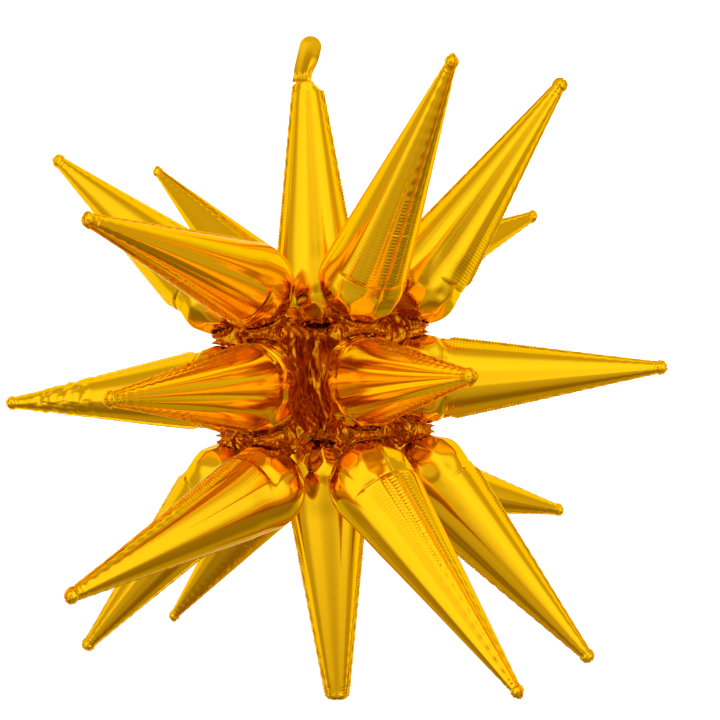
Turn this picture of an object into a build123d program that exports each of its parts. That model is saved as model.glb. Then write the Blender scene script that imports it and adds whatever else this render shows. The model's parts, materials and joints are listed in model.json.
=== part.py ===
"""Starburst foil balloon: twenty inflated cone spikes on a crumpled centre, with a flat inflation tail.

Every spike is two foil panels sealed along a flat margin, and sways on the soft neck under its dome.
Millimetres. The origin is where the hanging line is tied, at the root of the tail; +Z is up, -Y is the front.
Foil walls are drawn about half a millimetre thick: the film itself is about a twentieth of that.
"""
from build123d import *
import os
from math import asin, cos, degrees, radians, sin, sqrt, tan

# Foil and seals
FOIL = 0.5              # drawn wall of every inflated skin
SEAL_WIDTH = 5.0        # flat sealed margin outside a spike
SEAL_THICKNESS = 0.6    # both panels together
SOCKET_GAP = 0.6        # between a swaying dome and the foil that cups it

# Where the domes are, measured from the balloon's centre
COLUMN_RADIUS = 127.0   # dome centres of the six columns, from the upright axis
TIER_RISE = 116.0       # upper and lower domes, above and below the middle ones
POLE_RISE = 113.0       # domes of the top and bottom spikes
FIRST_AZIMUTH = 24.0    # first column, degrees to the right of the front
COLUMN_STEP = 60.0

# One sharp spike, along its own axis from the dome's centre
DOME_RADIUS = 50.0
SPIKE_LENGTH = 293.0
KNOB_RADIUS = 7.5       # round end of the spike
NEEDLE_RADIUS = 5.2     # of the cone's own surface, level with the centre of the round end
SEAL_START = 30.0       # where the margin begins, clear of the necks

# The two blunt spikes at the poles
TOP_LENGTH = 257.0
TOP_END_RADIUS = 14.5   # of the cone's own surface, level with the flat end
BOTTOM_LENGTH = 272.0
BOTTOM_END_RADIUS = 10.5
POLE_CORNER = 9.0
POLE_SEAM_AZIMUTH = 84.0

# Crumpled middle
NECK_RADIUS = 16.0
NECK_SETBACK = 13.0     # necks stand this much nearer the axis than the dome centres, clear of the cones
NECK_LAP = 5.0          # how far a neck's rim laps over its domes
PORT_RADIUS = 9.0       # air port through a dome
WEB_THICKNESS = 10.0
WEB_MARGIN = 2.4        # between the web's outer edge and the middle dome
CHAMBER_RADIUS = 28.0
CHAMBER_HALF = 56.0
COLLAR_MOUTH = 18.0     # smaller radius of the tapered collar
COLLAR_LAP = 10.0       # how far the untrimmed collar would reach past the end of a dome

# Inflation tail and valve
TAIL_WIDTH = 27.0
TAIL_LENGTH = 57.0
TAIL_FILM = 0.5
TAIL_GAP = 0.2          # passage between the two films
TAIL_SEAL = 3.0
TAIL_LEAN = 16.0        # degrees to the right
TAIL_OFFSET = -6.0
TAIL_CLEARANCE = 1.0    # from the end of the top spike up to the tail's hinge line
MOUTH_DROP = 9.0        # how much shorter the front film is at the inlet
MOUTH_SLANT = 25.0      # the front film's cut end rises to one side, degrees
VALVE_WIDTH = 18.0
VALVE_LENGTH = 90.0
VALVE_THICKNESS = 0.8
VALVE_FILM = 0.2

COLUMNS = ("front_right", "right", "rear_right", "rear_left", "left", "front_left")
TIERS = (("upper", TIER_RISE), ("middle", 0.0), ("lower", -TIER_RISE))

# Where each spike points: (azimuth to the right of the front, elevation) in degrees, upper to lower.
# The soft necks let them settle unevenly, so they are not all square to the centre.
AIMS = {
    "front_right": ((28, 45), (18, 0), (45, -48)),
    "right": ((81, 52), (92, 0), (86, -52)),
    "rear_right": ((121, 21), (146, 0), (118, -15)),
    "rear_left": ((230, 42), (204, 0), (234, -43)),
    "left": ((247, 41), (253, -1), (249, -45)),
    "front_left": ((329, 11), (333, -1), (317, -17)),
}

# Worked out from the sizes above
CENTRE_Z = -(POLE_RISE + TOP_LENGTH)
SOCKET_RADIUS = DOME_RADIUS + SOCKET_GAP
NECK_CENTRE = COLUMN_RADIUS - NECK_SETBACK
NECK_FOOT = DOME_RADIUS - NECK_LAP
WEB_EDGE = COLUMN_RADIUS - DOME_RADIUS - SOCKET_GAP - WEB_MARGIN
WEB_HALF = TIER_RISE - NECK_FOOT
PORT_DRILL = DOME_RADIUS + SEAL_WIDTH
BEYOND = 4 * TAIL_LENGTH


def heading(azimuth, elevation):
    """Unit vector of a direction given in degrees."""
    across = cos(radians(elevation))
    return Vector(sin(radians(azimuth)) * across, -cos(radians(azimuth)) * across, sin(radians(elevation)))


def spike_frame(base, aim, seam_azimuth):
    """Plane with X along the spike and Z square to the plane that its two seals lie in."""
    tangent = heading(seam_azimuth + 90.0, 0.0)
    square = tangent - aim * tangent.dot(aim)
    return Plane(origin=base, x_dir=aim, z_dir=square.normalized())


def cone_taper(end_radius, run):
    """Half angle, in degrees, of the cone that leaves the dome and has end_radius after a run."""
    return degrees(asin((DOME_RADIUS - end_radius) / run))


def dome_edge(radius, taper):
    """Arc from the back of the dome to where the cone leaves it."""
    turn = radians(90.0 - taper)
    half = (radians(180.0) + turn) / 2.0
    back = (-radius, 0.0)
    middle = (radius * cos(half), radius * sin(half))
    front = (radius * cos(turn), radius * sin(turn))
    return ThreePointArc(back, middle, front), front


def knob_face(inset):
    """Half section of a sharp spike, drawn inset from the outside of the foil."""
    radius = DOME_RADIUS - inset
    knob = KNOB_RADIUS - inset
    centre = SPIKE_LENGTH - KNOB_RADIUS
    taper = cone_taper(NEEDLE_RADIUS, centre)
    dome, front = dome_edge(radius, taper)
    slope = tan(radians(taper))
    apex = radius / sin(radians(taper))
    middle = centre + apex * slope ** 2
    spread = middle ** 2 - (1 + slope ** 2) * (centre ** 2 + (apex * slope) ** 2 - knob ** 2)
    waist_x = (middle - sqrt(spread)) / (1 + slope ** 2)
    waist = (waist_x, (apex - waist_x) * slope)
    start = degrees(asin(waist[1] / knob))
    turn = radians(180.0 - start) / 2.0
    crown = (centre + knob * cos(turn), knob * sin(turn))
    tip = (centre + knob, 0.0)
    outline = dome + Line(front, waist) + ThreePointArc(waist, crown, tip)
    outline += Line(tip, (-radius, 0.0))
    return make_face(outline.edges())


def blunt_face(length, taper, inset):
    """Half section of a pole spike, with a flat end and round corners."""
    radius = DOME_RADIUS - inset
    dome, front = dome_edge(radius, taper)
    apex = radius / sin(radians(taper))
    end = length - inset
    corner = (end, (apex - end) * tan(radians(taper)))
    side = FilletPolyline(front, corner, (end, 0.0), radius=POLE_CORNER - inset)
    outline = dome + side + Line((end, 0.0), (-radius, 0.0))
    return make_face(outline.edges())


def seal_margin(taper, end):
    """The flat sealed margin of one panel, on both sides of the spike."""
    slope = tan(radians(taper))
    apex = DOME_RADIUS / sin(radians(taper))

    def edge(x, out):
        return (x, (apex - x) * slope + out)

    corners = (
        edge(SEAL_START, -FOIL / 2),
        edge(SEAL_START + SEAL_WIDTH, SEAL_WIDTH),
        edge(end - SEAL_WIDTH, SEAL_WIDTH),
        edge(end, -FOIL / 2),
    )
    strip = extrude(make_face(Polyline(*corners, close=True)), SEAL_THICKNESS / 2)
    return strip + mirror(strip, about=Plane.XZ)


def panel_pair(shell, margin, frame, port_directions):
    """Left and right foil panels of one spike: half the skin and half the margin each, with its ports."""
    pair = []
    for side in (1, -1):
        half = revolve(shell, axis=Axis.X, revolution_arc=180.0) + margin
        if side < 0:
            half = half.rotate(Axis.X, 180.0)
        panel = frame * half
        for direction in port_directions:
            drill = Cylinder(PORT_RADIUS, PORT_DRILL, align=(Align.CENTER, Align.CENTER, Align.MIN))
            panel -= Plane(origin=frame.origin, z_dir=direction) * drill
        pair.append(panel)
    return pair


def ball(centre, radius):
    return Pos(*centre) * Sphere(radius)


def column_frame(azimuth):
    """Plane of one column: X outward from the balloon's centre, Z up."""
    return Plane(origin=(0, 0, CENTRE_Z), x_dir=heading(azimuth, 0.0), z_dir=(0, 0, 1))


def neck_section(inset):
    """Tear-drop section of a neck: round under the domes and narrow where it joins the web."""
    half = WEB_THICKNESS / 2 - inset
    wide = NECK_RADIUS - inset
    corners = ((WEB_EDGE, -half), (WEB_EDGE, half), (NECK_CENTRE, wide), (NECK_CENTRE, -wide))
    wedge = make_face(Polyline(*corners, close=True))
    return wedge + Pos(NECK_CENTRE, 0) * Circle(wide)


def column_necks():
    """Both necks of one column, cupped to the domes above and below them."""
    height = TIER_RISE - 2 * NECK_FOOT
    pieces = []
    for foot in (NECK_FOOT, -NECK_FOOT - height):
        neck = Pos(0, 0, foot) * (extrude(neck_section(0.0), height) - extrude(neck_section(FOIL), height))
        for rise in (TIER_RISE, 0.0, -TIER_RISE):
            neck -= ball((COLUMN_RADIUS, 0, rise), SOCKET_RADIUS)
        pieces.append(neck)
    return pieces


def column_web():
    """Flat double-walled web from the chamber out to the necks, open to both."""
    length = WEB_EDGE - CHAMBER_RADIUS
    corner = (Align.MIN, Align.CENTER, Align.CENTER)
    outside = Box(length + FOIL, WEB_THICKNESS, 2 * WEB_HALF, align=corner)
    inside = Box(length, WEB_THICKNESS - 2 * FOIL, 2 * (WEB_HALF - FOIL), align=corner)
    web = Pos(CHAMBER_RADIUS - FOIL, 0, 0) * (outside - inside)
    slot_height = WEB_HALF - NECK_FOOT - 2 * FOIL
    for side in (1, -1):
        slot = Box(4 * FOIL, WEB_THICKNESS - 2 * FOIL, slot_height)
        web -= Pos(WEB_EDGE, 0, side * (NECK_FOOT + WEB_HALF) / 2) * slot
    web -= Cylinder(CHAMBER_RADIUS, 3 * WEB_HALF)
    for side in (1, -1):
        web -= ball((0, 0, side * POLE_RISE), SOCKET_RADIUS)
    return web


def centre_chamber():
    """Tube on the upright axis, with a slot behind each web."""
    tube = Cylinder(CHAMBER_RADIUS, 2 * CHAMBER_HALF) - Cylinder(CHAMBER_RADIUS - FOIL, 2 * CHAMBER_HALF)
    slot = Box(2 * CHAMBER_RADIUS, WEB_THICKNESS - 2 * FOIL, 2 * (CHAMBER_HALF - WEB_THICKNESS))
    for index in range(len(COLUMNS)):
        turn = Rot(0, 0, FIRST_AZIMUTH + index * COLUMN_STEP - 90.0)
        tube -= turn * (Pos(CHAMBER_RADIUS, 0, 0) * slot)
    return Pos(0, 0, CENTRE_Z) * tube


def collar(side, socket):
    """Tapered skirt from the chamber's end to the pole dome, trimmed by the socket's ball."""
    height = POLE_RISE - DOME_RADIUS + COLLAR_LAP - CHAMBER_HALF
    base = (Align.CENTER, Align.CENTER, Align.MIN)
    skirt = Cone(CHAMBER_RADIUS, COLLAR_MOUTH, height, align=base)
    skirt -= Cone(CHAMBER_RADIUS - FOIL, COLLAR_MOUTH - FOIL, height, align=base)
    skirt = Pos(0, 0, CHAMBER_HALF) * skirt - ball((0, 0, POLE_RISE), socket)
    if side < 0:
        skirt = mirror(skirt, about=Plane.XY)
    return Pos(0, 0, CENTRE_Z) * skirt


def tail_outline(width, length):
    """Flat tongue with a round end, its root on the X axis."""
    half = width / 2
    straight = length - half
    edges = Polyline((half, straight), (half, 0), (-half, 0), (-half, straight))
    edges += ThreePointArc((-half, straight), (0, length), (half, straight))
    return make_face(edges.edges())


def tail_films():
    """Front and back films of the inflation tail, sealed at their edges and open at root and mouth."""
    upright = Plane(origin=(TAIL_OFFSET, 0, TAIL_CLEARANCE), x_dir=(1, 0, 0), z_dir=(0, -1, 0))
    tilt = Rot(0, 0, -TAIL_LEAN)
    full = tilt * tail_outline(TAIL_WIDTH, TAIL_LENGTH)
    passage = tilt * tail_outline(TAIL_WIDTH - 2 * TAIL_SEAL, TAIL_LENGTH + TAIL_WIDTH)
    above_root = Rectangle(BEYOND, BEYOND, align=(Align.CENTER, Align.MIN))
    full = full & above_root
    depth = TAIL_FILM + TAIL_GAP / 2
    front = extrude(full, depth) - extrude(passage, TAIL_GAP / 2)
    back = extrude(full, -depth) - extrude(passage, -TAIL_GAP / 2)
    cut_end = Rot(0, 0, MOUTH_SLANT - TAIL_LEAN) * Box(BEYOND, TAIL_WIDTH, BEYOND)
    front -= tilt * (Pos(-TAIL_WIDTH / 4, TAIL_LENGTH - MOUTH_DROP + TAIL_WIDTH / 2, 0) * cut_end)
    return upright * front, upright * back


def valve_sleeve():
    """Self-sealing valve: a flat clear sleeve hanging inside the top spike."""
    base = (Align.CENTER, Align.CENTER, Align.MAX)
    outside = Box(VALVE_WIDTH, VALVE_THICKNESS, VALVE_LENGTH, align=base)
    inside = Box(VALVE_WIDTH - 2 * VALVE_FILM, VALVE_THICKNESS - 2 * VALVE_FILM, VALVE_LENGTH, align=base)
    return outside - inside


def build():
    """Every node's shape, by name."""
    nodes = {}
    sharp_shell = knob_face(0.0) - knob_face(FOIL)
    sharp_taper = cone_taper(NEEDLE_RADIUS, SPIKE_LENGTH - KNOB_RADIUS)
    sharp_margin = seal_margin(sharp_taper, SPIKE_LENGTH - 2 * KNOB_RADIUS)
    up = Vector(0, 0, 1)
    port_rise = sqrt(DOME_RADIUS ** 2 - NECK_SETBACK ** 2)
    for index, column in enumerate(COLUMNS):
        azimuth = FIRST_AZIMUTH + index * COLUMN_STEP
        frame = column_frame(azimuth)
        to_neck = heading(azimuth, 0.0) * -NECK_SETBACK
        port_up = to_neck + up * port_rise
        port_down = to_neck - up * port_rise
        ports = {"upper": (port_down,), "middle": (port_up, port_down), "lower": (port_up,)}
        for (tier, rise), aim in zip(TIERS, AIMS[column]):
            base = heading(azimuth, 0.0) * COLUMN_RADIUS + up * (CENTRE_Z + rise)
            spike = spike_frame(base, heading(*aim), azimuth)
            left, right = panel_pair(sharp_shell, sharp_margin, spike, ports[tier])
            nodes[f"{column}_{tier}_left_panel"] = left
            nodes[f"{column}_{tier}_right_panel"] = right
        nodes[f"{column}_necks"] = Compound([frame * neck for neck in column_necks()])
        nodes[f"{column}_web"] = frame * column_web()

    poles = (("top", 1, TOP_LENGTH, TOP_END_RADIUS), ("bottom", -1, BOTTOM_LENGTH, BOTTOM_END_RADIUS))
    for name, side, length, end_radius in poles:
        taper = cone_taper(end_radius, length)
        shell = blunt_face(length, taper, 0.0) - blunt_face(length, taper, FOIL)
        margin = seal_margin(taper, length - POLE_CORNER)
        base = up * (CENTRE_Z + side * POLE_RISE)
        spike = spike_frame(base, up * side, POLE_SEAM_AZIMUTH)
        left, right = panel_pair(shell, margin, spike, (up * -side,))
        if name == "top":
            slit = Box(VALVE_WIDTH, VALVE_THICKNESS, 4 * FOIL)
            left -= slit
            right -= slit
        nodes[f"{name}_left_panel"] = left
        nodes[f"{name}_right_panel"] = right

    nodes["centre_chamber"] = centre_chamber()
    nodes["top_collar"] = collar(1, DOME_RADIUS)
    nodes["bottom_collar"] = collar(-1, SOCKET_RADIUS)
    nodes["tail_front_film"], nodes["tail_back_film"] = tail_films()
    nodes["valve_sleeve"] = valve_sleeve()
    return nodes


os.makedirs("parts", exist_ok=True)
for node_name, shape in build().items():
    export_step(shape, f"parts/{node_name}.step")
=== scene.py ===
"""Looks of the starburst foil balloon: inflated gold foil spikes, crumpled necks and centre, and the tail."""
import json
import math

import bpy
import numpy as np
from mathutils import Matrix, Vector


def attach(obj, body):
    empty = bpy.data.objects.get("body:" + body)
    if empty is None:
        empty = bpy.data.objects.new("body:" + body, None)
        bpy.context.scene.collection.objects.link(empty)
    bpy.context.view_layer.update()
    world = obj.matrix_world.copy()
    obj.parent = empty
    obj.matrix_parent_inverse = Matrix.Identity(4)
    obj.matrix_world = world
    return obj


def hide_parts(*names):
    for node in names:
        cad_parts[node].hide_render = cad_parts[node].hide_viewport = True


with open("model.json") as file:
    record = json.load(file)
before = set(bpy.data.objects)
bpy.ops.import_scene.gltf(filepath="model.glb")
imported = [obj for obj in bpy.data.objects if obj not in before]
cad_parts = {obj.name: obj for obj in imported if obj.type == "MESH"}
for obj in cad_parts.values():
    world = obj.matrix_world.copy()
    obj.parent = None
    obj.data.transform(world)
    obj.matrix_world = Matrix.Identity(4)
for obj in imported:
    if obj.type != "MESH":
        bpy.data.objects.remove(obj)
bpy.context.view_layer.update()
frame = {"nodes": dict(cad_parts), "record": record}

# ---------------------------------------------------------------- sizes (metres, radians)
MM = 0.001
TURN = 2 * math.pi

# Spikes
DOME_RADIUS = 50 * MM
NEEDLE_RADIUS = 5.2 * MM    # of the cone's surface, level with the centre of the round end
WAIST_RADIUS = 5.4 * MM     # where the cone gives way to the round end
KNOB_RADIUS = 7.0 * MM
END_RADIUS = {"top": 14.5 * MM, "bottom": 10.5 * MM}
END_CORNER = {"top": 3.0 * MM, "bottom": 8.0 * MM}
SHOULDER_DROP = 9 * MM      # how far the top spike's end slopes down to its right
END_FALL = 2.5 * MM         # how far the same end falls away in front of and behind the tail
SEAL_WIDTH = 4.4 * MM
DOME_RIM = 1.6 * MM         # what is left of the sealed margin round a dome
NECK_RIM = 0.5 * MM         # the same where a neck covers it
PUCKER_PITCH = 3.9 * MM     # of the fine cross wrinkles beside a seal, and of its ragged edge
PUCKER_HEIGHT = 0.25 * MM
RING_DEPTH = 1.5 * MM       # of the crease ring across the base of a spike
BASE_DROP = 1.4 * MM        # how far the foil behind that ring lies back
DENT_SIZE = 9 * MM          # of the small dents at the far end
CREASED_SPIKE = "left_middle"
PATCH_SIZES = (26 * MM, 12 * MM)    # of the broad and the sharp facets of its crushed patch
FOIL = 0.35 * MM
TAIL_FILM = 0.2 * MM

# Middle
COLUMN_RADIUS = 127 * MM
NECK_SETBACK = 13 * MM
NECK_RADIUS = 14 * MM
CHAMBER_RADIUS = 26 * MM
CHAMBER_HALF = 56 * MM
COLLAR_LOW = 54 * MM
COLLAR_LAP = 43 * MM        # from a pole dome's centre back to the collar's far end
COLLAR_MOUTH = 21 * MM
WEB_HALF = 71 * MM
WEB_THIN = 5 * MM
WEB_BULGE = 9 * MM
SHOULDER = 5.5 * MM         # how far a middle spike's foil stands proud at a neck
DOME_CLEAR = DOME_RADIUS + 1.5 * MM
ELBOW_CLEAR = DOME_CLEAR + SHOULDER

# Tail
TAIL_HALF = 13.5 * MM
TAIL_ROOT = 12.0 * MM
TAIL_LENGTH = 57 * MM
TAIL_LEAN = math.radians(16)
TAIL_OFFSET = -6 * MM
TAIL_LIFT = -0.5 * MM       # of the root, from the hinge line
TAIL_BOW = 1.4 * MM
TAIL_CURL = 3.4 * MM        # how far the right edge turns back near the root
TAIL_FOLD = 0.7 * MM        # depth of the one crease across the root
TAIL_RAYS = (0.6 * MM, 0.2 * MM)    # heights of the creases that fan out from the root
MOUTH_DROP = 9 * MM
MOUTH_SLANT = math.radians(25)

# Fineness of the spike grids: rings along a spike, steps round one panel
RINGS = 210
HALF_TURN = 64

# Film colours, as linear light
GOLD = (1.0, 0.56, 0.006, 1.0)
# Gold darkened towards red-brown for the crumpled middle: painted shade in place of the dim light that
# bounces between the spikes, not the film's own colour
PAINTED_SHADE_GOLD = (0.72, 0.29, 0.004, 1.0)
EDGE_GOLD = (1.0, 0.80, 0.30, 1.0)
CLEAR = (0.86, 0.88, 0.86, 1.0)
HAZE_SCALE = 22.0
WRINKLE_SCALE = 160.0
WRINKLE_HEIGHT = 0.4 * MM

# Camera: level, a little rolled, straight in front of the balloon
VIEW_CENTRE = Vector((0.0, 0.0, -0.370))
VIEW_DISTANCE = 1.708
VIEW_ROLL = math.radians(2.8)
VIEW_SHIFT = (0.0528, 0.0333)
LENS = 70.0
SENSOR = 36.0

# Floor and backdrop
WHITE = (0.9, 0.9, 0.9, 1.0)
FLOOR_HEIGHT = -1.3
STAGE_REACH = 6.0
FLOOR_GLOW = 0.35
BACKDROP_GLOW = 1.0

# Light, as (place, brightness): along the view, 0 behind the camera and 1 at the backdrop; by height, 0 below
LIGHT = 1.4
AHEAD_STOPS = (
    (0.0, 0.26), (0.014, 0.30), (0.035, 0.62), (0.12, 0.88), (0.30, 0.80),
    (0.42, 0.42), (0.60, 0.38), (0.72, 0.72), (1.0, 0.72),
)
HEIGHT_STOPS = ((0.0, 0.35), (0.26, 0.50), (0.36, 1.0), (1.0, 1.0))
WARM_BELOW = 0.7
WARMTH = 0.26


# ---------------------------------------------------------------- small helpers
def unit(vector):
    return vector / np.linalg.norm(vector)


def smooth(x, low, high):
    """0 below low, 1 above high, smooth between."""
    t = np.clip((x - low) / (high - low), 0.0, 1.0)
    return t * t * (3.0 - 2.0 * t)


def triangle(x):
    """Triangle wave of period 1, from -1 to 1."""
    return 4.0 * np.abs(x - np.floor(x + 0.5)) - 1.0


def angle_gap(theta, where):
    """The smaller angle between two directions round a spike."""
    return np.abs((theta - where + math.pi) % TURN - math.pi)


def crumple(points, scale, seed, octaves):
    """Facets and sharp creases, as in crushed foil: triangle waves in random directions, near -1 to 1."""
    rng = np.random.default_rng(seed)
    total = np.zeros(len(points))
    weight = 0.0
    for octave in range(octaves):
        size = scale / 1.9 ** octave
        share = 0.6 ** octave
        for _ in range(3):
            direction = unit(rng.normal(size=3))
            bend = unit(rng.normal(size=3))
            warp = 0.25 * np.sin(points @ bend / size * 1.7 + rng.uniform(0, 6.3))
            total += share * triangle(points @ direction / size + warp + rng.uniform())
            weight += share
    return total / weight * 1.6


def new_mesh(name, vertices, faces):
    """A smooth mesh object from arrays: vertices in the row frame, and quads."""
    mesh = bpy.data.meshes.new(name)
    faces = np.asarray(faces, dtype=np.int32)
    count, corners = faces.shape
    mesh.vertices.add(len(vertices))
    mesh.vertices.foreach_set("co", np.asarray(vertices, dtype=np.float32).ravel())
    mesh.loops.add(count * corners)
    mesh.loops.foreach_set("vertex_index", faces.ravel())
    mesh.polygons.add(count)
    mesh.polygons.foreach_set("loop_start", np.arange(0, count * corners, corners, dtype=np.int32))
    mesh.polygons.foreach_set("use_smooth", np.full(count, True))
    mesh.update(calc_edges=True)
    mesh.validate()
    piece = bpy.data.objects.new(name, mesh)
    bpy.context.scene.collection.objects.link(piece)
    return piece


def grid_faces(rows, columns, wrap):
    """Quads of a grid whose vertices run row by row."""
    across = columns if wrap else columns - 1
    r, c = np.meshgrid(np.arange(rows - 1), np.arange(across), indexing="ij")
    a = r * columns + c
    b = r * columns + (c + 1) % columns
    return np.stack([a, b, b + columns, a + columns], axis=-1).reshape(-1, 4)


def vertex_normals(grid, wrap_columns):
    """Unit normals of a grid of points, shape (rows, columns, 3)."""
    if wrap_columns:
        padded = np.concatenate([grid[:, -1:], grid, grid[:, :1]], axis=1)
        along = (padded[:, 2:] - padded[:, :-2])
    else:
        along = np.gradient(grid, axis=1)
    down = np.gradient(grid, axis=0)
    normal = np.cross(along, down)
    return normal / np.maximum(np.linalg.norm(normal, axis=2, keepdims=True), 1e-12)


def rim(first, second, count):
    """Quads that close a sheet along one edge, from a row of vertices to the next ones along it."""
    return np.stack([second, first, first + count, second + count], axis=-1)


def foil_sheet(name, grid, wrap_columns=False, flip=False, thickness=FOIL):
    """A closed thin sheet: the grid is its outer face, and the inner face lies one thickness behind it."""
    rows, columns = grid.shape[:2]
    normals = vertex_normals(grid, wrap_columns)
    if flip:
        normals = -normals
    inner = grid - normals * thickness
    outside = grid_faces(rows, columns, wrap_columns)
    inside = outside[:, ::-1] + rows * columns
    count = rows * columns
    step = np.arange(columns if wrap_columns else columns - 1)
    following = (step + 1) % columns
    last = (rows - 1) * columns
    rims = [rim(step, following, count), rim(last + following, last + step, count)]
    if not wrap_columns:
        row = np.arange(rows - 1) * columns
        edge = row + columns - 1
        rims.append(rim(row + columns, row, count))
        rims.append(rim(edge, edge + columns, count))
    faces = np.concatenate([outside, inside] + rims)
    if flip:
        faces = faces[:, ::-1]
    points = np.concatenate([grid.reshape(-1, 3), inner.reshape(-1, 3)])
    return new_mesh(name, points, faces)


# ---------------------------------------------------------------- materials
def foil_material(name, colour, roughness, wrinkle):
    """Metallised film: a mirror of one colour, with haze between two roughnesses and very fine wrinkles."""
    material = bpy.data.materials.new(name)
    material.use_nodes = True
    nodes = material.node_tree.nodes
    links = material.node_tree.links
    shader = nodes["Principled BSDF"]
    shader.inputs["Base Color"].default_value = colour
    shader.inputs["Metallic"].default_value = 1.0
    shader.inputs["Specular Tint"].default_value = EDGE_GOLD
    place = nodes.new("ShaderNodeTexCoord")
    haze = nodes.new("ShaderNodeTexNoise")
    haze.inputs["Scale"].default_value = HAZE_SCALE
    haze.inputs["Detail"].default_value = 4.0
    span = nodes.new("ShaderNodeMapRange")
    span.inputs["To Min"].default_value = roughness[0]
    span.inputs["To Max"].default_value = roughness[1]
    links.new(place.outputs["Object"], haze.inputs["Vector"])
    links.new(haze.outputs["Fac"], span.inputs["Value"])
    links.new(span.outputs["Result"], shader.inputs["Roughness"])
    ripple = nodes.new("ShaderNodeTexNoise")
    ripple.inputs["Scale"].default_value = WRINKLE_SCALE
    ripple.inputs["Detail"].default_value = 3.0
    bump = nodes.new("ShaderNodeBump")
    bump.inputs["Strength"].default_value = wrinkle
    bump.inputs["Distance"].default_value = WRINKLE_HEIGHT
    links.new(place.outputs["Object"], ripple.inputs["Vector"])
    links.new(ripple.outputs["Fac"], bump.inputs["Height"])
    links.new(bump.outputs["Normal"], shader.inputs["Normal"])
    return material


spike_foil = foil_material("spike_foil", GOLD, (0.09, 0.15), 0.10)
# The necks, webs, chamber and collars take the darkened gold: painted shade for the deep centre of the
# balloon
creased_foil = foil_material("creased_foil", PAINTED_SHADE_GOLD, (0.10, 0.20), 0.3)
tail_foil = foil_material("tail_foil", GOLD, (0.16, 0.22), 0.05)


def clear_film(name):
    """Thin clear plastic film, a little milky."""
    material = bpy.data.materials.new(name)
    material.use_nodes = True
    shader = material.node_tree.nodes["Principled BSDF"]
    shader.inputs["Base Color"].default_value = CLEAR
    shader.inputs["Roughness"].default_value = 0.18
    shader.inputs["IOR"].default_value = 1.49
    shader.inputs["Alpha"].default_value = 0.35
    return material


valve_film = clear_film("valve_film")

for name, node in frame["nodes"].items():
    node.data.materials.clear()
    node.data.materials.append(valve_film if name == "valve_sleeve" else spike_foil)


# ---------------------------------------------------------------- spikes
def sharp_profile(length):
    """Half section of a sharp spike: dome, cone, waist and round knob, from back to tip."""
    taper = math.asin((DOME_RADIUS - NEEDLE_RADIUS) / (length - KNOB_RADIUS))
    turn = np.linspace(math.radians(179.3), math.pi / 2 - taper, 120)
    dome = np.stack([DOME_RADIUS * np.cos(turn), DOME_RADIUS * np.sin(turn)], axis=1)
    apex = DOME_RADIUS / math.sin(taper)
    waist = apex - WAIST_RADIUS / math.tan(taper)
    x = np.linspace(dome[-1, 0], waist, 300)[1:]
    cone = np.stack([x, (apex - x) * math.tan(taper)], axis=1)
    start = math.asin(WAIST_RADIUS / KNOB_RADIUS)
    turn = np.linspace(math.pi - start, math.radians(1.5), 60)[1:]
    middle = length - KNOB_RADIUS
    knob = np.stack([middle + KNOB_RADIUS * np.cos(turn), KNOB_RADIUS * np.sin(turn)], axis=1)
    return np.concatenate([dome, cone[cone[:, 0] < knob[0, 0] - 0.5 * MM], knob])


def blunt_profile(length, end_radius, corner_radius):
    """Half section of a pole spike, with a nearly flat end."""
    taper = math.asin((DOME_RADIUS - end_radius) / length)
    turn = np.linspace(math.radians(179.3), math.pi / 2 - taper, 120)
    dome = np.stack([DOME_RADIUS * np.cos(turn), DOME_RADIUS * np.sin(turn)], axis=1)
    apex = DOME_RADIUS / math.sin(taper)
    shoulder = length - corner_radius
    x = np.linspace(dome[-1, 0], shoulder, 300)[1:]
    cone = np.stack([x, (apex - x) * math.tan(taper)], axis=1)
    radius = cone[-1, 1]
    turn = np.linspace(0.0, math.pi / 2, 40)[1:]
    corner_x = shoulder + corner_radius * np.sin(turn)
    corner = np.stack([corner_x, radius - corner_radius * (1 - np.cos(turn))], axis=1)
    r = np.linspace(corner[-1, 1], 0.25 * MM, 12)[1:]
    end = np.stack([np.full(len(r), length), r], axis=1)
    return np.concatenate([dome, cone, corner, end])


def ring_stations(profile, count):
    """Points along the profile, closest together where the fine puckers are and at the tip."""
    x = profile[:, 0]
    length = x.max()
    step = np.linalg.norm(np.diff(profile, axis=0), axis=1)
    middle = (x[1:] + x[:-1]) / 2
    spacing = np.where(middle < 8 * MM, 1.8 * MM, 0.95 * MM)
    spacing = np.where(middle > 135 * MM, 2.4 * MM, spacing)
    spacing = np.where(middle > length - 2 * DENT_SIZE, 0.8 * MM, spacing)
    along = np.concatenate([[0.0], np.cumsum(step / spacing)])
    wanted = np.linspace(0.0, along[-1], count)
    return np.stack([np.interp(wanted, along, column) for column in profile.T], axis=1)


def facet_planes(neck, aim_share, elbow, rng):
    """Normals and distances of the flat facets round one neck, on a dome about the origin."""
    side = unit(np.cross(neck, [0.3, 0.5, 0.8]))
    other = np.cross(neck, side)
    planes = [(neck, 0.95)]
    if elbow:
        planes.append((unit(neck - np.array([0.85, 0.0, 0.0])), 0.94))
    for polar, count, distance in ((33, 6, 0.945), (56, 9, 0.955), (76, 11, 0.975)):
        first = rng.uniform(0, 6.28)
        for index in range(count):
            turn = first + (index + rng.uniform(-0.2, 0.2)) * 2 * math.pi / count
            lean = math.radians(polar + rng.uniform(-5, 5))
            across = math.cos(turn) * side + math.sin(turn) * other
            normal = math.cos(lean) * neck + math.sin(lean) * across
            if normal[0] < aim_share:
                planes.append((normal, distance + rng.uniform(-0.006, 0.006)))
    return planes


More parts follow.
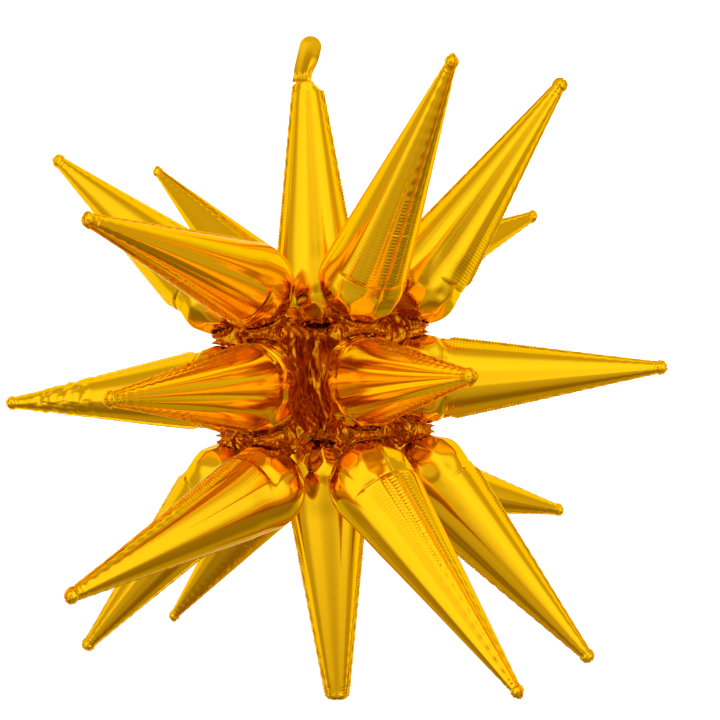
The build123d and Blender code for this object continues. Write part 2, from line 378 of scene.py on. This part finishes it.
def facet_dome(points, planes, sharpness=4200.0):
    """Pulls points near the dome in to the flat facets, with narrow creases between them."""
    reach = np.linalg.norm(points, axis=-1)
    heading = points / reach[..., None]
    total = np.exp(-sharpness * (reach - DOME_RADIUS))
    for normal, distance in planes:
        facing = heading @ normal
        limit = np.where(facing > 0.3, distance * DOME_RADIUS / np.maximum(facing, 0.3), 1.0)
        total = total + np.exp(-sharpness * (np.minimum(limit, 0.1) - DOME_RADIUS))
    pulled = DOME_RADIUS - np.log(total) / sharpness
    blend = 1.0 - smooth(points[..., 0], 14 * MM, 30 * MM)
    return heading * (reach + (pulled - reach) * blend)[..., None]


def flutes(x, theta, length, rng):
    """Long soft ridges and valleys that run to the tip, as a share of the local radius."""
    total = np.zeros_like(x + theta)
    for waves in (2, 3, 4, 5, 7, 9):
        drift = 0.5 * np.sin(x / length * rng.uniform(2, 4) + rng.uniform(0, 6.28))
        height = rng.uniform(0.3, 1.0) * 0.010 * (4.0 / (waves + 2.0))
        total += height * np.cos(waves * theta + rng.uniform(0, 6.28) + drift)
    for _ in range(5):
        gap = angle_gap(theta, rng.uniform(0, TURN))
        total -= rng.uniform(0.010, 0.022) * np.exp(-gap / rng.uniform(0.05, 0.11))
    return total


def puckers(x, r, gap, ring, wide, strength, rng):
    """Fine cross wrinkles beside a seal, widest near the crease ring, with a sharper crease now and then."""
    aside = r * gap
    ahead = x - ring
    spread = wide * (1.0 - 0.68 * smooth(ahead, 10 * MM, 120 * MM)) + 2 * MM
    wobble = 0.35 * np.sin(gap * 9.0 + rng.uniform(0, 6.28)) + 0.5 * np.sin(x * 70.0 + rng.uniform(0, 6.28))
    phase = TURN * x / PUCKER_PITCH + wobble
    begin = smooth(ahead, 0.5 * MM, 4 * MM)
    fade = np.exp(-(aside / spread) ** 2) * begin * (1.0 - 0.55 * smooth(ahead, 60 * MM, 190 * MM))
    total = strength * PUCKER_HEIGHT * np.sin(phase) * fade
    close = np.exp(-((aside - 6 * MM) / (5 * MM)) ** 2) * begin
    total += strength * 0.96 * PUCKER_HEIGHT * np.sin(phase + 0.6) * close
    place = ring + 9 * MM
    while place < ring + 150 * MM:
        band = np.exp(-((x - place) / (0.75 * MM)) ** 2) * (1.0 - smooth(aside, 9 * MM, 15 * MM))
        total -= strength * rng.uniform(0.25, 0.55) * MM * band
        place += rng.uniform(12, 19) * MM
    return total


def crease_rings(x, gap, ring, reach):
    """Folds across the base on the side of a neck, out to an angle: one clear ring and two behind it."""
    window = 1.0 - smooth(gap, reach * 0.75, reach)
    total = -RING_DEPTH * np.exp(-np.abs(x - ring) / (1.2 * MM)) * window
    total -= BASE_DROP * smooth(ring - x, 0.0, 0.8 * MM) * (1.0 - smooth(ring - x, 14 * MM, 30 * MM)) * window
    for back, depth, narrow in ((13.0, 0.8, 0.6), (24.0, 0.6, 0.45)):
        inner = 1.0 - smooth(gap, reach * narrow * 0.7, reach * narrow)
        total -= depth * MM * np.exp(-np.abs(x - ring + back * MM) / (0.9 * MM)) * inner
    return total


def shoulder(x, gap, ring):
    """The foil of a middle spike stands proud where it turns into a neck."""
    across = 1.0 - smooth(gap, math.radians(30), math.radians(78))
    behind = smooth(x, -46 * MM, -24 * MM) * (1.0 - smooth(x, ring - 9 * MM, ring + 11 * MM))
    return SHOULDER * across * behind


def slant_end(spike, points, x):
    """Lowers the top spike's end to its right, and before and behind the tail that stands on it."""
    length = spike["length"]
    right = points[..., 1] * np.sign(spike["axes"][0, 1])
    fall = SHOULDER_DROP * smooth(right, 3 * MM, 15 * MM)
    fall += END_FALL * smooth(np.abs(points[..., 2]), 0.0, 12 * MM)
    points[..., 0] -= fall * smooth(x, length - 16 * MM, length - 2 * MM)


def seam_lift(spike, seam, x, r, theta, rng):
    """Height of the folds and fine wrinkles that one seam of a spike brings with it."""
    gap = angle_gap(theta, seam)
    if seam in spike["neck_sides"]:
        ring = spike["rings"][seam]
        lift = crease_rings(x, gap, ring, math.radians(72))
        if len(spike["neck_sides"]) > 1:
            lift += shoulder(x, gap, ring)
        lift += puckers(x, r, gap, ring, 30 * MM, 1.0, rng)
        for fold in (-1, 1):
            beside = angle_gap(theta, seam + fold * math.radians(rng.uniform(17, 23)))
            lift -= 0.016 * r * np.exp(-beside / 0.045) * smooth(x, ring, ring + 12 * MM)
    else:
        lift = puckers(x, r, gap, 12 * MM, 10 * MM, 1.1, rng)
    return lift - 0.5 * MM * np.exp(-(r * gap / (1.6 * MM)) ** 2) * smooth(x, -20 * MM, 10 * MM)


def far_lift(spike, flat, x):
    """Height of the crushed patch on one spike and of the small dents at every spike's far end."""
    length = spike["length"]
    lift = np.zeros(x.shape)
    if spike["name"] == CREASED_SPIKE:
        patch = smooth(x, length - 140 * MM, length - 115 * MM)
        patch *= 1.0 - smooth(x, length - 45 * MM, length - 30 * MM)
        broad = crumple(flat, PATCH_SIZES[0], 77, octaves=2).reshape(x.shape)
        sharp = crumple(flat, PATCH_SIZES[1], 78, octaves=2).reshape(x.shape)
        lift += (1.2 * broad + 0.8 * sharp) * MM * patch
    dent = crumple(flat, DENT_SIZE, spike["seed"] + 50, octaves=2).reshape(x.shape)
    if spike["blunt"]:
        return lift + 0.35 * MM * (dent - 1.0) * smooth(x, length - 26 * MM, length - 4 * MM)
    return lift + 0.4 * MM * dent * smooth(x, length - 18 * MM, length - 12 * MM)


def spike_surface(spike, theta, stations):
    """Outer foil of a spike at every station and angle, in the spike's own axes."""
    rng = np.random.default_rng(spike["seed"])
    x, r = stations[:, :1], stations[:, 1:]
    slope = np.gradient(stations, axis=0)
    slope /= np.linalg.norm(slope, axis=1, keepdims=True)
    out_x, out_r = -slope[:, 1:], slope[:, :1]
    length = spike["length"]
    x = x + 0 * theta
    r = r + 0 * theta
    points = np.stack([x, r * np.cos(theta), r * np.sin(theta)], axis=-1)
    for planes in spike["facets"]:
        points = facet_dome(points, planes)
    if spike["name"] == "top":
        slant_end(spike, points, x)
    cone = smooth(x, 4 * MM, 40 * MM)
    lift = flutes(x, theta, length, rng) * r * cone
    lift *= 1.0 - 0.7 * smooth(x, length - 40 * MM, length - 12 * MM)
    for seam in (0.0, math.pi):
        lift += seam_lift(spike, seam, x, r, theta, rng)
    flat = points.reshape(-1, 3)
    soft = np.sin(flat @ [61.0, 47.0, 12.0] + 1.0) + np.sin(flat @ [-38.0, 22.0, 74.0] + spike["seed"])
    soft += 0.6 * np.sin(flat @ [25.0, -97.0, 55.0] + 2.0 * spike["seed"])
    lift += 0.38 * MM * soft.reshape(x.shape) * (1.0 - smooth(x, 25 * MM, 60 * MM))
    lift += far_lift(spike, flat, x)
    normal = np.stack([out_x + 0 * theta, out_r * np.cos(theta), out_r * np.sin(theta)], axis=-1)
    return points + normal * lift[..., None]


def seal_width(spike, seam, stations):
    """Width of the sealed margin along one side: full on the cone, thin round the dome and at the end."""
    x = stations[:, 0]
    start = 20 * MM
    rim_width = DOME_RIM
    if seam in spike["neck_sides"]:
        start = spike["rings"][seam] + 5 * MM
        rim_width = NECK_RIM
    width = rim_width + (SEAL_WIDTH - rim_width) * smooth(x, start, start + 12 * MM)
    back = smooth(x, -DOME_RADIUS, -20 * MM)
    width = width * (0.3 + 0.7 * back)
    if spike["blunt"]:
        fade = 0.92 if spike["name"] == "top" else 0.5
        return width * (1.0 - fade * smooth(x, spike["length"] - 6 * MM, spike["length"] - 1 * MM))
    return width * (1.0 - 0.4 * smooth(x, 60 * MM, spike["length"] - 20 * MM))


def panel_grid(spike, side):
    """Outer face of one foil panel, with its sealed margins, in the spike's own axes."""
    stations = spike["stations"]
    share = np.linspace(0.0, 1.0, HALF_TURN + 1)
    half = math.pi * (share - 0.075 * np.sin(TURN * share))
    theta = (half if side > 0 else TURN - half)[None, :]
    surface = spike_surface(spike, theta, stations)
    x = stations[:, 0]
    rng = np.random.default_rng(spike["seed"] + 7)
    slope = np.gradient(stations, axis=0)
    slope /= np.linalg.norm(slope, axis=1, keepdims=True)
    columns = []
    for seam, edge in ((0.0, surface[:, 0]), (math.pi, surface[:, -1])):
        outward = np.stack([-slope[:, 1], slope[:, 0] * math.cos(seam), np.zeros(len(x))], axis=1)
        phase = rng.uniform(0, 6.28)
        width = seal_width(spike, seam, stations)
        ragged = 1.0 + 0.06 * triangle(x / PUCKER_PITCH + phase) + 0.03 * np.sin(x * 900 + phase)
        strip = []
        for step in (0.35, 0.7, 1.0):
            ripple = 0.24 * MM * step * np.sin(TURN * x / PUCKER_PITCH + phase + 1.2 * step)
            ripple += 0.3 * MM * step * np.sin(TURN * x / (23 * MM) + 2 * phase)
            ripple *= width / SEAL_WIDTH
            reach = width * (step if step < 1.0 else ragged)
            offset = np.zeros((len(x), 3))
            offset[:, 2] = ripple + side * 0.5 * FOIL
            base = edge.copy()
            base[:, 2] *= 0.0
            strip.append(base + outward * reach[:, None] + offset)
        columns.append(strip)
    first = [column[:, None] for column in columns[0][::-1]]
    last = [column[:, None] for column in columns[1]]
    return np.concatenate(first + [surface] + last, axis=1)


def node_points(*names):
    """All vertices of CAD nodes, in the row frame."""
    clouds = []
    for name in names:
        mesh = frame["nodes"][name].data
        cloud = np.empty(len(mesh.vertices) * 3, dtype=np.float32)
        mesh.vertices.foreach_get("co", cloud)
        clouds.append(cloud.reshape(-1, 3))
    return np.concatenate(clouds).astype(float)


def describe_spike(name, body, centre, normal, aim, length, necks, seed):
    """Everything that shapes one spike. necks are the world directions of the necks it joins."""
    side = np.cross(normal, aim)
    axes = np.stack([aim, side, normal], axis=1)
    rng = np.random.default_rng(seed)
    blunt = name in ("top", "bottom")
    profile = blunt_profile(length, END_RADIUS[name], END_CORNER[name]) if blunt else sharp_profile(length)
    spike = {"name": name, "body": body, "centre": centre, "axes": axes, "length": length, "seed": seed}
    spike["blunt"] = blunt
    spike["stations"] = ring_stations(profile, RINGS)
    spike["facets"] = []
    spike["neck_sides"] = []
    spike["rings"] = {}
    for neck in necks:
        local = unit(neck @ axes)
        spike["facets"].append(facet_planes(local, 0.62, len(necks) > 1, rng))
        seam = 0.0 if local[1] > 0 else math.pi
        if not blunt:
            spike["neck_sides"].append(seam)
            spike["rings"][seam] = rng.uniform(17, 24) * MM
    return spike


def read_spikes():
    """The twenty spikes: where each is and where it points, from the frame's joints and nodes."""
    joints = {joint["child"]: joint for joint in frame["record"]["behaviour"]["joints"]}
    spikes = []
    seed = 11
    for body, joint in joints.items():
        if body in ("tail", "bottom_spike"):
            continue
        name = body[: -len("_spike")]
        tier = name.rsplit("_", 1)[1]
        centre = np.array(joint["pos_m"])
        normal = unit(np.array(joint["axis"]))
        cloud = node_points(f"{name}_left_panel", f"{name}_right_panel")
        away = np.linalg.norm(cloud - centre, axis=1)
        aim = cloud[away.argmax()] - centre
        aim = unit(aim - normal * (aim @ normal))
        outward = unit(centre * [1, 1, 0])
        rise = math.sqrt(DOME_RADIUS ** 2 - NECK_SETBACK ** 2)
        necks = []
        if tier in ("upper", "middle"):
            necks.append(-outward * NECK_SETBACK - np.array([0, 0, rise]))
        if tier in ("lower", "middle"):
            necks.append(-outward * NECK_SETBACK + np.array([0, 0, rise]))
        spikes.append(describe_spike(name, body, centre, normal, aim, away.max(), necks, seed))
        seed += 1
    middle = joints["front_right_middle_spike"]["pos_m"][2]
    low = np.array(joints["bottom_spike"]["pos_m"])
    normal = unit(np.array(joints["bottom_spike"]["axis"]))
    high = np.array([0.0, 0.0, 2 * middle - low[2]])
    for name, body, centre, sign in (("top", "core", high, 1), ("bottom", "bottom_spike", low, -1)):
        cloud = node_points(f"{name}_left_panel")
        end = cloud[:, 2].max() if sign > 0 else cloud[:, 2].min()
        aim = np.array([0.0, 0.0, float(sign)])
        length = abs(end - centre[2])
        spikes.append(describe_spike(name, body, centre, normal, aim, length, [-aim], seed))
        seed += 1
    return spikes


def finish_foil(piece, body, node, material):
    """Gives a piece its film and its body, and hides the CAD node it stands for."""
    piece.data.materials.append(material)
    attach(piece, body)
    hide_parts(node)


SPIKES = read_spikes()
for spike in SPIKES:
    for side, label in ((1, "left"), (-1, "right")):
        grid = panel_grid(spike, side)
        world_grid = grid @ spike["axes"].T + spike["centre"]
        node = f"{spike['name']}_{label}_panel"
        panel = foil_sheet(f"{node}_foil", world_grid, flip=side > 0)
        finish_foil(panel, spike["body"], node, spike_foil)


# ---------------------------------------------------------------- necks, webs, chamber and collars
MIDDLES = [spike for spike in SPIKES if "_middle" in spike["name"]]
CENTRE_Z = np.mean([spike["centre"][2] for spike in MIDDLES])
TIER_RISE = np.mean([spike["centre"][2] for spike in SPIKES if "_upper" in spike["name"]]) - CENTRE_Z
POLE_RISE = [spike["centre"][2] for spike in SPIKES if spike["name"] == "top"][0] - CENTRE_Z


def place_column(points, outward):
    """From a column's own axes (X outward, Z up, origin at the balloon's centre) to the row frame."""
    up = np.array([0.0, 0.0, 1.0])
    axes = np.stack([outward, np.cross(up, outward), up], axis=1)
    return points @ axes.T + np.array([0.0, 0.0, CENTRE_Z])


def keep_off(points, centre, radius):
    """Pushes points that lie inside a ball out to its surface."""
    away = points - centre
    reach = np.linalg.norm(away, axis=-1, keepdims=True)
    return np.where(reach < radius, centre + away / np.maximum(reach, 1e-9) * radius, points)


def neck_grid(sign, seed):
    """A gathered neck, above (sign 1) or below (-1) the middle dome: pleated cuffs and a crushed waist."""
    rng = np.random.default_rng(seed)
    rows, columns = 70, 180
    share = np.linspace(0.0, 1.0, rows)[:, None]
    turn = np.linspace(0.0, TURN, columns, endpoint=False)[None, :]
    end = np.abs(2 * share - 1.0)
    inner = np.maximum(-np.cos(turn), 0.0)
    radius = NECK_RADIUS * (0.95 + 0.50 * end ** 2) * (1.0 + 1.5 * inner ** 3)
    for count, depth in ((11, 0.055), (17, 0.04), (29, 0.022)):
        drift = 0.6 * np.sin(share * rng.uniform(2, 5) + rng.uniform(0, 6.28))
        radius = radius * (1.0 + depth * (0.45 + 0.75 * end) * triangle(count * turn / TURN + drift))
    x = COLUMN_RADIUS - NECK_SETBACK + radius * np.cos(turn)
    squash = 1.0 - 0.45 * inner ** 2
    y = radius * np.sin(turn) * squash
    away = (x - COLUMN_RADIUS) ** 2 + y ** 2
    low = np.sqrt(np.maximum(ELBOW_CLEAR ** 2 - away, (40 * MM) ** 2))
    high = TIER_RISE - np.sqrt(np.maximum(DOME_CLEAR ** 2 - away, (36 * MM) ** 2))
    z = low + share * (high - low)
    points = np.stack([x, y, z], axis=-1)
    flat = points.reshape(-1, 3)
    crush = crumple(flat * [1, 1, 0.6], 17 * MM, seed + 1, octaves=2).reshape(x.shape)
    fine = crumple(flat, 8 * MM, seed + 2, octaves=1).reshape(x.shape)
    lift = (3.0 * MM * crush + 0.8 * MM * fine) * (1.0 - 0.5 * end ** 4)
    points = points + vertex_normals(points, wrap_columns=True) * lift[..., None]
    points = keep_off(points, np.array([COLUMN_RADIUS, 0, 0]), ELBOW_CLEAR)
    points = keep_off(points, np.array([COLUMN_RADIUS, 0, TIER_RISE]), DOME_CLEAR)
    return points * [1, 1, sign]


def web_grid(seed):
    """A crushed flat sleeve between the chamber and the necks, sealed along its top and bottom."""
    rows, columns = 130, 150
    inside = CHAMBER_RADIUS - 2 * MM
    outside = COLUMN_RADIUS - DOME_RADIUS - 1.5 * MM
    share = np.linspace(-1.0, 1.0, rows)[:, None]
    turn = np.linspace(0.0, TURN, columns, endpoint=False)[None, :]
    bulge = np.exp(-((np.abs(share) * WEB_HALF - TIER_RISE / 2) / (13 * MM)) ** 2)
    half = (WEB_THIN + WEB_BULGE * bulge) * np.sqrt(np.maximum(1.0 - share ** 6, 0.0)) + 0.4 * MM
    reach = outside - inside + 8 * MM * bulge
    x = inside + reach / 2 + reach / 2 * np.sign(np.cos(turn)) * np.abs(np.cos(turn)) ** 0.8
    y = half * np.sign(np.sin(turn)) * np.abs(np.sin(turn)) ** 0.6
    z = share * WEB_HALF + 0 * turn
    points = np.stack([x + 0 * share, y, z], axis=-1)
    flat = points.reshape(-1, 3)
    crush = crumple(flat * [1, 0.4, 0.55], 26 * MM, seed, octaves=2).reshape(z.shape)
    fine = crumple(flat * [1, 1, 0.5], 10 * MM, seed + 1, octaves=2).reshape(z.shape)
    bend = crumple(flat * [1, 0, 0.7], 40 * MM, seed + 2, octaves=1).reshape(z.shape)
    points[..., 1] += np.sign(y) * (2.6 * MM * crush + 0.9 * MM * fine) * (half / (6 * MM)) + 3.4 * MM * bend
    points = keep_off(points, np.array([COLUMN_RADIUS, 0, 0]), ELBOW_CLEAR)
    for side in (1, -1):
        points = keep_off(points, np.array([COLUMN_RADIUS, 0, side * TIER_RISE]), DOME_CLEAR)
        points = keep_off(points, np.array([0, 0, side * POLE_RISE]), DOME_CLEAR)
    return points


def skirt_grid(low, high, low_radius, high_radius, seed, pleats, depth):
    """A crushed tube on the upright axis, from one height and radius to another."""
    rng = np.random.default_rng(seed)
    rows, columns = 110, 220
    share = np.linspace(0.0, 1.0, rows)[:, None]
    turn = np.linspace(0.0, TURN, columns, endpoint=False)[None, :]
    radius = low_radius + (high_radius - low_radius) * share + 0 * turn
    drift = 0.5 * np.sin(share * rng.uniform(2, 5) + rng.uniform(0, 6.28))
    radius = radius + depth * triangle(pleats * turn / TURN + drift)
    z = low + (high - low) * share + 0 * turn
    points = np.stack([radius * np.cos(turn), radius * np.sin(turn), z], axis=-1)
    crush = crumple(points.reshape(-1, 3) * [1, 1, 0.5], 24 * MM, seed + 1, octaves=2).reshape(z.shape)
    radius = radius + 2.2 * depth * crush
    points = np.stack([radius * np.cos(turn), radius * np.sin(turn), z], axis=-1)
    for side in (1, -1):
        points = keep_off(points, np.array([0, 0, side * POLE_RISE]), DOME_CLEAR)
    return points


for index, middle in enumerate(MIDDLES):
    column = middle["name"][: -len("_middle")]
    outward = unit(middle["centre"] * [1, 1, 0])
    for sign, label in ((1, "upper"), (-1, "lower")):
        grid = place_column(neck_grid(sign, 300 + 10 * index + sign), outward)
        neck = foil_sheet(f"{column}_{label}_neck_foil", grid, wrap_columns=True, flip=sign < 0)
        finish_foil(neck, "core", f"{column}_necks", creased_foil)
    grid = place_column(web_grid(400 + 10 * index), outward)
    web = foil_sheet(f"{column}_web_foil", grid, wrap_columns=True)
    finish_foil(web, "core", f"{column}_web", creased_foil)

middle_height = np.array([0, 0, CENTRE_Z])
chamber = skirt_grid(-CHAMBER_HALF, CHAMBER_HALF, CHAMBER_RADIUS, CHAMBER_RADIUS, 500, 6, 2.0 * MM)
chamber_foil = foil_sheet("centre_chamber_foil", chamber + middle_height, wrap_columns=True)
finish_foil(chamber_foil, "core", "centre_chamber", creased_foil)
collar_high = POLE_RISE - COLLAR_LAP
for side, node in ((1, "top_collar"), (-1, "bottom_collar")):
    grid = skirt_grid(COLLAR_LOW, collar_high, CHAMBER_RADIUS, COLLAR_MOUTH, 510 + side, 16, 1.0 * MM)
    collar = foil_sheet(f"{node}_foil", grid * [1, 1, side] + middle_height, wrap_columns=True, flip=side < 0)
    finish_foil(collar, "core", node, creased_foil)


# ---------------------------------------------------------------- inflation tail
def tail_grid(front):
    """One film of the flat tail: round end, slightly bowed, creased where it gathers into the spike."""
    rows, columns = 130, 96
    share = np.linspace(0.0, 1.0, rows)[:, None]
    across = TAIL_HALF * np.sin(np.linspace(-math.pi / 2, math.pi / 2, columns))[None, :]
    straight = TAIL_LENGTH - TAIL_HALF
    end = straight + np.sqrt(np.maximum(TAIL_HALF ** 2 - across ** 2, 0.0))
    if front:
        cut = TAIL_LENGTH - MOUTH_DROP + (across + TAIL_HALF / 2) * math.tan(MOUTH_SLANT)
        end = np.minimum(end, cut)
    start = across * math.tan(TAIL_LEAN)
    along = start + share * (end - start)
    above = along - start
    narrow = TAIL_ROOT / TAIL_HALF + (1 - TAIL_ROOT / TAIL_HALF) * smooth(along, 0, 18 * MM)
    waist = 1.0 - 0.30 * np.exp(-((along - 14 * MM) / (10 * MM)) ** 2) * smooth(across, -2 * MM, 8 * MM)
    width = across * narrow * waist
    edge = np.abs(across) / TAIL_HALF
    pillow = (1.0 - smooth(edge, 0.15, 0.85)) * (1.0 - 0.6 * smooth(along, 30 * MM, 57 * MM))
    side = -1.0 if front else 1.0
    root = smooth(above, 0.5 * MM, 10 * MM)
    apart = side * (0.14 * MM + (0.14 + 0.5 * pillow) * MM * root)
    bow = -TAIL_BOW * np.sin(above / TAIL_LENGTH * 2.6) + TAIL_BOW / 2 * (across / TAIL_HALF) ** 2
    turned = TAIL_CURL * smooth(across, 3 * MM, 12 * MM) * (1 - smooth(along, 14 * MM, 36 * MM))
    fold = -TAIL_FOLD * np.exp(-np.abs(along - 7 * MM - 0.45 * across) / (1.0 * MM))
    ray = np.arctan2(across - 3 * MM, along + 9 * MM)
    gather = 1.0 - smooth(above, 4 * MM, 15 * MM)
    rays = gather * (TAIL_RAYS[0] * triangle(ray * 3.1 + 0.3) + TAIL_RAYS[1] * triangle(ray * 8.3))
    flat = np.stack([along, width, 0 * along], axis=-1).reshape(-1, 3)
    dents = 0.07 * MM * crumple(flat, 22 * MM, 601, octaves=1).reshape(along.shape)
    depth = apart + (bow + turned + fold + rays + dents) * root
    x = TAIL_OFFSET + along * math.sin(TAIL_LEAN) + width * math.cos(TAIL_LEAN)
    z = TAIL_LIFT + along * math.cos(TAIL_LEAN) - across * math.sin(TAIL_LEAN)
    return np.stack([x, depth, np.maximum(z, TAIL_LIFT)], axis=-1)


for front, node in ((True, "tail_front_film"), (False, "tail_back_film")):
    film = foil_sheet(f"{node}_foil", tail_grid(front), flip=not front, thickness=TAIL_FILM)
    finish_foil(film, "tail", node, tail_foil)


# ---------------------------------------------------------------- stage, light and camera
camera_data = bpy.data.cameras.new("camera")
camera = bpy.data.objects.new("camera", camera_data)
bpy.context.scene.collection.objects.link(camera)
camera_data.lens = LENS
camera_data.sensor_width = SENSOR
camera_data.shift_x, camera_data.shift_y = VIEW_SHIFT
camera.location = VIEW_CENTRE + Vector((0.0, -VIEW_DISTANCE, 0.0))
camera.rotation_mode = "XYZ"
camera.rotation_euler = (math.radians(90.0), VIEW_ROLL, 0.0)
bpy.context.scene.camera = camera

bpy.context.scene.view_settings.view_transform = "Standard"


def white_surface(name, glow):
    """A plain white stage material that glows a little, so that it stays pale in every view."""
    material = bpy.data.materials.new(name)
    material.use_nodes = True
    shader = material.node_tree.nodes["Principled BSDF"]
    shader.inputs["Base Color"].default_value = WHITE
    shader.inputs["Roughness"].default_value = 1.0
    shader.inputs["Specular IOR Level"].default_value = 0.0
    shader.inputs["Emission Color"].default_value = (1.0, 1.0, 1.0, 1.0)
    shader.inputs["Emission Strength"].default_value = glow
    return material


def stage_piece(name, piece, glow):
    """A stage piece that only the camera sees: the light and the mirror images come from the world."""
    piece.name = name
    piece.data.materials.append(white_surface(name, glow))
    piece.visible_glossy = False
    piece.visible_diffuse = False
    piece.visible_transmission = False
    piece.visible_shadow = False


bpy.ops.mesh.primitive_plane_add(size=2 * STAGE_REACH, location=(0.0, 0.0, FLOOR_HEIGHT))
stage_piece("floor", bpy.context.object, FLOOR_GLOW)
bpy.ops.mesh.primitive_uv_sphere_add(segments=48, ring_count=24, radius=STAGE_REACH, location=VIEW_CENTRE)
stage_piece("backdrop", bpy.context.object, BACKDROP_GLOW)


def ramp(nodes, stops):
    """A colour ramp. Each stop is (place, brightness), and the dim ones are a little warm."""
    node = nodes.new("ShaderNodeValToRGB")
    points = node.color_ramp.elements
    while len(points) < len(stops):
        points.new(0.5)
    for point, (place, grey) in zip(points, stops):
        warmth = WARMTH * max(0.0, WARM_BELOW - grey)
        point.position = place
        point.color = (grey * (1.0 + warmth), grey * (1.0 - warmth), grey * (1.0 - 2 * warmth), 1.0)
    return node


def studio_world():
    """The studio that lights the foil: pale backdrop and sides, a dark gap at the camera, a dim floor."""
    world = bpy.data.worlds.new("studio")
    bpy.context.scene.world = world
    world.use_nodes = True
    nodes = world.node_tree.nodes
    links = world.node_tree.links
    place = nodes.new("ShaderNodeTexCoord")
    split = nodes.new("ShaderNodeSeparateXYZ")
    links.new(place.outputs["Generated"], split.inputs["Vector"])
    scaled = {}
    for axis in "YZ":
        span = nodes.new("ShaderNodeMapRange")
        span.inputs["From Min"].default_value = -1.0
        span.inputs["From Max"].default_value = 1.0
        links.new(split.outputs[axis], span.inputs["Value"])
        scaled[axis] = span.outputs["Result"]
    ahead = ramp(nodes, AHEAD_STOPS)
    height = ramp(nodes, HEIGHT_STOPS)
    links.new(scaled["Y"], ahead.inputs["Fac"])
    links.new(scaled["Z"], height.inputs["Fac"])
    both = nodes.new("ShaderNodeMix")
    both.data_type = "RGBA"
    both.blend_type = "MULTIPLY"
    both.inputs["Factor"].default_value = 1.0
    links.new(ahead.outputs["Color"], both.inputs["A"])
    links.new(height.outputs["Color"], both.inputs["B"])
    links.new(both.outputs["Result"], nodes["Background"].inputs["Color"])
    nodes["Background"].inputs["Strength"].default_value = LIGHT


studio_world()
